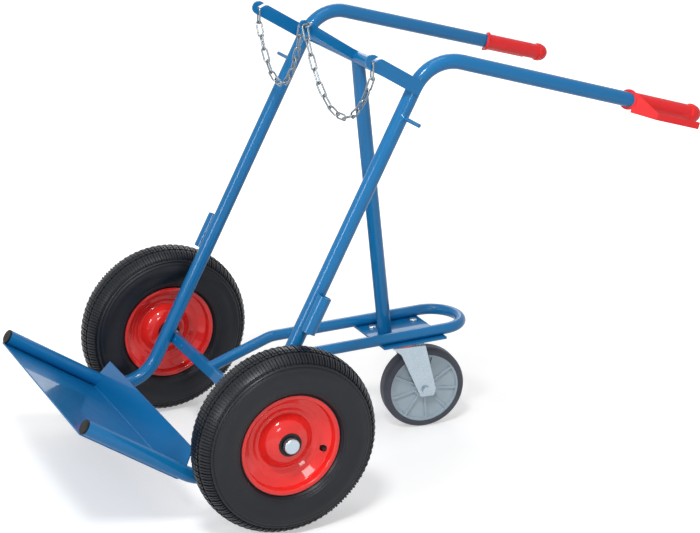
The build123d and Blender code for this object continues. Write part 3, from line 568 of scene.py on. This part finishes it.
@dataclass
class Tyre:
    """One main wheel's tyre: a turned carcass with flank rings, and lugs on five ribs of its tread.

    Sizes are in metres. A place on the tyre is its offset from the wheel's middle plane and its radius.

    Attributes:
        side: The side of the cart that the wheel is on.
        shelf: The cart's finishes.
        ring: The tree that repeats the lugs round the tyre.
        centre: The wheel's middle, from the CAD tyre.
        radius: The tread's radius at its middle, from the CAD tyre.
        half_width: Half the tyre's width, from the CAD tyre.
        segments: Facets round the carcass.
        tread_steps: Steps from the middle of the tread to the shoulder.
        flank_steps: Steps in each span of the flank.
        flank_stride: Away from the flank rings, one in this many of those steps is kept.
        rib_steps: Steps across a rib.
        shoulder: Half the tread's width.
        shoulder_drop: How far the tread falls from its middle to the shoulder.
        widest_radius: Radius at which the tyre is widest.
        swell: A place on the lower flank.
        bead: The flank's lower end at the rim.
        seat_radius: Radius at which the bead sits on the rim.
        bead_width: Width of the bead's seat.
        wall: Thickness of the carcass.
        middle_rib: Half the width of the middle rib.
        side_rib: Offsets at which a side rib starts and stops.
        lug_pairs: Pairs of a high and a low lug round the tyre.
        lug_height: How far a high lug stands over the carcass.
        lug_root: How deep a lug's foot lies under the finished outside, in lug heights.
        lug_share: How much of its room round the tyre a shoulder lug fills.
        rib_share: How much of its room a lug of another rib fills.
        lug_top_share: Width of a lug's top against its foot.
        low_lug_drop: How much lower the low lugs are.
        lug_start: Offset at which the shoulder lugs start.
        lug_end_radius: Radius at which the shoulder lugs end.
    """

    side: Side
    shelf: FinishShelf
    ring: RingTree
    centre: Vector = field(init=False)
    radius: float = field(init=False)
    half_width: float = field(init=False)
    segments: int = 176
    tread_steps: int = 16
    flank_steps: int = 44
    flank_stride: int = 4
    rib_steps: int = 4
    shoulder: float = 0.041
    shoulder_drop: float = 0.016
    widest_radius: float = 0.153
    swell: Point = (0.0437, 0.1217)
    bead: Point = (0.0324, 0.1107)
    seat_radius: float = 0.1018
    bead_width: float = 0.0095
    wall: float = 0.0075
    middle_rib: float = 0.0082
    side_rib: tuple[float, float] = (0.0106, 0.0171)
    lug_pairs: int = 88
    lug_height: float = 0.0028
    lug_root: float = 1.4
    lug_share: float = 0.66
    rib_share: float = 0.84
    lug_top_share: float = 0.75
    low_lug_drop: float = 0.0012
    lug_start: float = 0.0206
    lug_end_radius: float = 0.1795

    def __post_init__(self) -> None:
        """Take the wheel's place and size from the CAD tyre."""
        low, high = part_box(f"{self.side.value}_tyre")
        self.centre = (low + high) / 2
        self.radius = (high.z - low.z) / 2
        self.half_width = (high.y - low.y) / 2

    def crown(self, offset: float) -> Point:
        """Return the tread's place at an offset."""
        arc = (self.shoulder**2 + self.shoulder_drop**2) / (2 * self.shoulder_drop)
        return offset, self.radius - arc + math.sqrt(arc**2 - offset**2)

    def outer_line(self) -> Outline:
        """Return the finished outside from the middle of the tread to the bead.

        Returns:
            The places, closer together at the flank rings.
        """
        tread = [self.crown(self.shoulder * step / self.tread_steps) for step in range(self.tread_steps)]
        stations = [self.crown(self.shoulder), (self.half_width, self.widest_radius), self.swell, self.bead]
        flank = curve_through(stations, self.flank_steps)
        kept = [
            place
            for index, place in enumerate(flank)
            if index % self.flank_stride == 0 or any(ring.lift(place[1]) for ring in FLANK_RINGS)
        ]
        return tread + kept

    def lift(self, radius: float) -> float:
        """Return how far the carcass lies over the finished outside, or under it where less than zero.

        Args:
            radius: Radius of the finished outside.

        Returns:
            The height in metres.
        """
        if radius >= self.lug_end_radius:
            return -self.lug_height
        return sum(ring.lift(radius) for ring in FLANK_RINGS)

    def outward(self, line: Outline) -> Outline:
        """Return the outward direction at each place of a line on the finished outside.

        Args:
            line: The places in order.

        Returns:
            One unit direction for each place.
        """
        directions: Outline = []
        for index in range(len(line)):
            before = line[max(index - 1, 0)]
            after = line[min(index + 1, len(line) - 1)]
            along = Vector(after) - Vector(before)
            along.normalize()
            directions.append((-along.y, along.x))
        return directions

    def section(self) -> Outline:
        """Return the carcass's closed section, with the tread sunk to the lugs' feet.

        Returns:
            The places all the way round the section.
        """
        line = self.outer_line()
        outside = []
        for (x, r), (across, up) in zip(line, self.outward(line)):
            height = self.lift(r)
            outside.append((x + across * height, r + up * height))
        back = self.bead[0] - self.bead_width
        inside = [
            (self.bead[0], self.seat_radius),
            (back, self.seat_radius),
            (back, self.bead[1]),
            (self.swell[0] - self.wall, self.swell[1] + self.wall),
            (self.half_width - self.wall, self.widest_radius),
            (self.shoulder - self.wall, self.radius - self.shoulder_drop - self.wall),
            (0.0, self.radius - self.wall),
        ]
        half = outside + inside
        return half + [(-x, r) for x, r in reversed(half[1:-1])]

    def carcass(self) -> bpy.types.Object:
        """Turn the carcass's section round the wheel's axis.

        Returns:
            The carcass object.
        """
        loop = self.section()
        mesh = bmesh.new()
        rings = []
        for index in range(self.segments):
            turn = math.tau * index / self.segments
            rings.append(
                [
                    mesh.verts.new(self.centre + Vector((r * math.sin(turn), x, r * math.cos(turn))))
                    for x, r in loop
                ]
            )
        for index, ring in enumerate(rings):
            following = rings[(index + 1) % self.segments]
            for at in range(len(loop)):
                ahead = (at + 1) % len(loop)
                mesh.faces.new((ring[at], ring[ahead], following[ahead], following[at]))
        bmesh.ops.recalc_face_normals(mesh, faces=mesh.faces)
        return link_mesh(f"{self.side.value}_tyre_carcass", mesh)

    def rib(self, start: float, stop: float) -> Rib:
        """Return the places across one rib of the tread, each with its outward direction.

        Args:
            start: Offset at which the rib starts.
            stop: Offset at which it stops.

        Returns:
            The places in order.
        """
        steps = range(self.rib_steps + 1)
        line = [self.crown(start + (stop - start) * step / self.rib_steps) for step in steps]
        return list(zip(line, self.outward(line)))

    def shoulder_rib(self) -> Rib:
        """Return the places down one shoulder, each with its outward direction.

        Returns:
            The places in order, from the tread to the lugs' lower end.
        """
        line = self.outer_line()
        whole = list(zip(line, self.outward(line)))
        return [row for row in whole if row[0][0] >= self.lug_start and row[0][1] >= self.lug_end_radius]

    def lug(self, mesh: bmesh.types.BMesh, rib: Rib, sign: int, low: bool, share: float) -> None:
        """Add one lug to a mesh.

        Args:
            mesh: The mesh that the lug is added to.
            rib: The places that the lug runs along.
            sign: The side of the tread, 1 or -1.
            low: Whether it is the lower lug of its pair, half a pitch further round.
            share: How much of its room round the tyre the lug fills.
        """
        room = math.pi / self.lug_pairs
        middle = room if low else 0.0
        drop = self.low_lug_drop if low else 0.0
        root = self.lug_root * self.lug_height
        foot_turn = room * share / 2
        top_turn = foot_turn * self.lug_top_share
        profile = ((root, -foot_turn), (drop, -top_turn), (drop, top_turn), (root, foot_turn))
        rows = []
        for (x, r), (across, up) in rib:
            row = []
            for depth, turn in profile:
                offset = x - across * depth
                radius = r - up * depth
                angle = middle + turn
                row.append(
                    mesh.verts.new((radius * math.sin(angle), sign * offset, radius * math.cos(angle)))
                )
            rows.append(row)
        for first, second in zip(rows, rows[1:]):
            for at in range(len(profile)):
                ahead = (at + 1) % len(profile)
                mesh.faces.new((first[at], first[ahead], second[ahead], second[at]))
        mesh.faces.new(rows[0])
        mesh.faces.new(rows[-1])

    def lugs(self) -> bpy.types.Object:
        """Build a high and a low lug on every rib and repeat them round the tyre.

        Returns:
            The object with all the lugs.
        """
        mesh = bmesh.new()
        for low in (False, True):
            self.lug(mesh, self.rib(-self.middle_rib, self.middle_rib), 1, low, self.rib_share)
            for sign in (1, -1):
                self.lug(mesh, self.rib(*self.side_rib), sign, low, self.rib_share)
                self.lug(mesh, self.shoulder_rib(), sign, low, self.lug_share)
        bmesh.ops.recalc_face_normals(mesh, faces=mesh.faces)
        piece = link_mesh(f"{self.side.value}_tyre_lugs", mesh, smooth=False)
        self.ring.run(
            piece,
            count=self.lug_pairs,
            centre=tuple(self.centre),
            finish=self.shelf.by_slot["tyre_black"],
        )
        return piece

    def build(self) -> list[bpy.types.Object]:
        """Build and dress the tyre and set it on its wheel.

        Returns:
            The tyre's pieces.
        """
        carcass = self.carcass()
        self.shelf.dress(carcass, "tyre_black")
        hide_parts(f"{self.side.value}_tyre")
        pieces = [carcass, self.lugs()]
        for piece in pieces:
            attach(piece, f"{self.side.value}_wheel")
        return pieces


def seen_rays(tree: bpy.types.NodeTree) -> bpy.types.NodeSocket:
    """Add a value that is one for the camera's rays and for reflected and passed-through ones, or else zero.

    Args:
        tree: The node tree of a material or of the world.

    Returns:
        The value's socket.
    """
    path = tree.nodes.new("ShaderNodeLightPath")
    seen = path.outputs["Is Camera Ray"]
    for name in ("Is Glossy Ray", "Is Transmission Ray"):
        either = tree.nodes.new("ShaderNodeMath")
        either.operation = "MAXIMUM"
        tree.links.new(seen, either.inputs[0])
        tree.links.new(path.outputs[name], either.inputs[1])
        seen = either.outputs["Value"]
    return seen


@dataclass(frozen=True)
class Lamp:
    """A square soft lamp.

    Attributes:
        name: The lamp's name.
        place: Where it hangs, in metres.
        power: Its power in watts.
        size: Its side in metres.
    """

    name: str
    place: Place
    power: float
    size: float

    def hang(self, aim: Place) -> None:
        """Hang the lamp and turn it.

        Args:
            aim: The place that it points at.
        """
        data = bpy.data.lights.new(self.name, "AREA")
        data.energy = self.power
        data.size = self.size
        lamp = bpy.data.objects.new(self.name, data)
        bpy.context.scene.collection.objects.link(lamp)
        lamp.location = self.place
        lamp.rotation_mode = "QUATERNION"
        lamp.rotation_quaternion = (Vector(aim) - Vector(self.place)).to_track_quat("-Z", "Y")


LAMPS = (
    Lamp("key_lamp", (1.2, 1.7, 3.1), 54.0, 0.6),
    Lamp("left_lamp", (3.1, 1.2, 1.7), 26.0, 0.8),
    Lamp("front_lamp", (0.8, 3.6, 1.6), 22.0, 0.75),
    Lamp("top_lamp", (0.0, 0.3, 3.4), 14.0, 1.2),
    Lamp("back_lamp", (-1.4, -2.6, 2.0), 16.0, 1.4),
)


@dataclass
class Studio:
    """A white floor, a soft sky, five lamps and the camera of the photograph.

    Attributes:
        camera_place: Where the camera stands, in metres.
        azimuth: The camera's angle round the cart in degrees.
        elevation: The camera's angle over the floor in degrees.
        lens: The lens in millimetres.
        sensor: The film's width in millimetres.
        aim: The middle of the cart, at which the lamps point.
        floor_half: Half the floor's side in metres.
        floor_tone: How pale the floor is.
        floor_roughness: How dull the floor is.
        floor_shine: How strong the floor's reflections are.
        glow_start: Distance from the cart's middle at which the floor's glow starts to grow.
        glow_end: Distance at which the glow is full.
        near_glow: The glow under the cart.
        far_glow: The full glow.
        sky_strength: The light that the sky gives.
        sky_seen: How bright the sky shows to the camera and in reflections.
    """

    camera_place: Place = (1.73235, 3.60578, 1.85692)
    azimuth: float = 154.09
    elevation: float = 19.79
    lens: float = 98.36
    sensor: float = 36.0
    aim: Place = (0.0, 0.0, 0.45)
    floor_half: float = 30.0
    floor_tone: float = 0.7
    floor_roughness: float = 0.9
    floor_shine: float = 0.1
    glow_start: float = 0.45
    glow_end: float = 1.9
    near_glow: float = 0.43
    far_glow: float = 0.95
    sky_strength: float = 0.3
    sky_seen: float = 1.0

    def floor(self) -> None:
        """Lay the floor, which keeps the cart's shadow and shows white further away."""
        mesh = bmesh.new()
        square = [(-1, -1), (1, -1), (1, 1), (-1, 1)]
        mesh.faces.new([mesh.verts.new((x * self.floor_half, y * self.floor_half, 0)) for x, y in square])
        floor = link_mesh("studio_floor", mesh, smooth=False)
        graph = Graph("floor_white")
        graph.set(base_color=(self.floor_tone, self.floor_tone, self.floor_tone, 1.0))
        graph.set(roughness=self.floor_roughness, specular_ior_level=self.floor_shine)
        graph.set(emission_color=WHITE)
        graph.join(self.glow_seen(graph), graph.shader.inputs["Emission Strength"])
        floor.data.materials.append(graph.material)

    def glow_seen(self, graph: Graph) -> bpy.types.NodeSocket:
        """Add the floor's glow, which grows with distance and shows to the camera and in reflections.

        Args:
            graph: The floor's material.

        Returns:
            The glow's socket.
        """
        distance = graph.add("ShaderNodeVectorMath", operation="LENGTH")
        graph.join(graph.place, distance.inputs[0])
        ramp = graph.add(
            "ShaderNodeMapRange",
            from_min=self.glow_start,
            from_max=self.glow_end,
            to_min=self.near_glow,
            to_max=self.far_glow,
        )
        graph.join(distance.outputs["Value"], ramp.inputs["Value"])
        product = graph.add("ShaderNodeMath", operation="MULTIPLY")
        graph.join(ramp.outputs["Result"], product.inputs[0])
        graph.join(seen_rays(graph.tree), product.inputs[1])
        return product.outputs["Value"]

    def sky(self) -> None:
        """Fill the world with a weak soft light that shows white to the camera and in reflections."""
        world = bpy.data.worlds.new("studio_sky")
        bpy.context.scene.world = world
        world.use_nodes = True
        tree = world.node_tree
        tree.nodes.clear()
        output = tree.nodes.new("ShaderNodeOutputWorld")
        soft = tree.nodes.new("ShaderNodeBackground")
        soft.inputs["Color"].default_value = WHITE
        strength = tree.nodes.new("ShaderNodeMath")
        strength.operation = "MULTIPLY_ADD"
        strength.inputs[1].default_value = self.sky_seen - self.sky_strength
        strength.inputs[2].default_value = self.sky_strength
        tree.links.new(seen_rays(tree), strength.inputs[0])
        tree.links.new(strength.outputs["Value"], soft.inputs["Strength"])
        tree.links.new(soft.outputs["Background"], output.inputs["Surface"])

    def camera(self) -> None:
        """Set the camera at the photograph's place and angle."""
        data = bpy.data.cameras.new("photo_camera")
        data.lens = self.lens
        data.sensor_width = self.sensor
        camera = bpy.data.objects.new("photo_camera", data)
        bpy.context.scene.collection.objects.link(camera)
        turn = math.radians(self.azimuth)
        rise = math.radians(self.elevation)
        back = Vector(
            (math.sin(turn) * math.cos(rise), -math.cos(turn) * math.cos(rise), math.sin(rise))
        )
        turned = (-back).to_track_quat("-Z", "Y").to_matrix().to_4x4()
        camera.matrix_world = Matrix.Translation(self.camera_place) @ turned
        bpy.context.scene.camera = camera

    def build(self) -> None:
        """Build the whole studio."""
        bpy.context.scene.view_settings.view_transform = "Standard"
        self.floor()
        self.sky()
        for lamp in LAMPS:
            lamp.hang(self.aim)
        self.camera()


def main() -> None:
    """Load the frame, build every piece in order and report each one."""
    logging.basicConfig(level=logging.INFO, format="%(message)s")
    for old in list(bpy.data.objects):
        bpy.data.objects.remove(old)
    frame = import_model()
    shelf = FinishShelf()
    shelf.dress_cad(frame)
    ring = RingTree("ring_of_lugs")
    for side in Side:
        for piece in Tyre(side, shelf, ring).build():
            log.info("%s: %d faces", piece.name, len(piece.data.polygons))
    Studio().build()


if __name__ == "__main__":
    main()
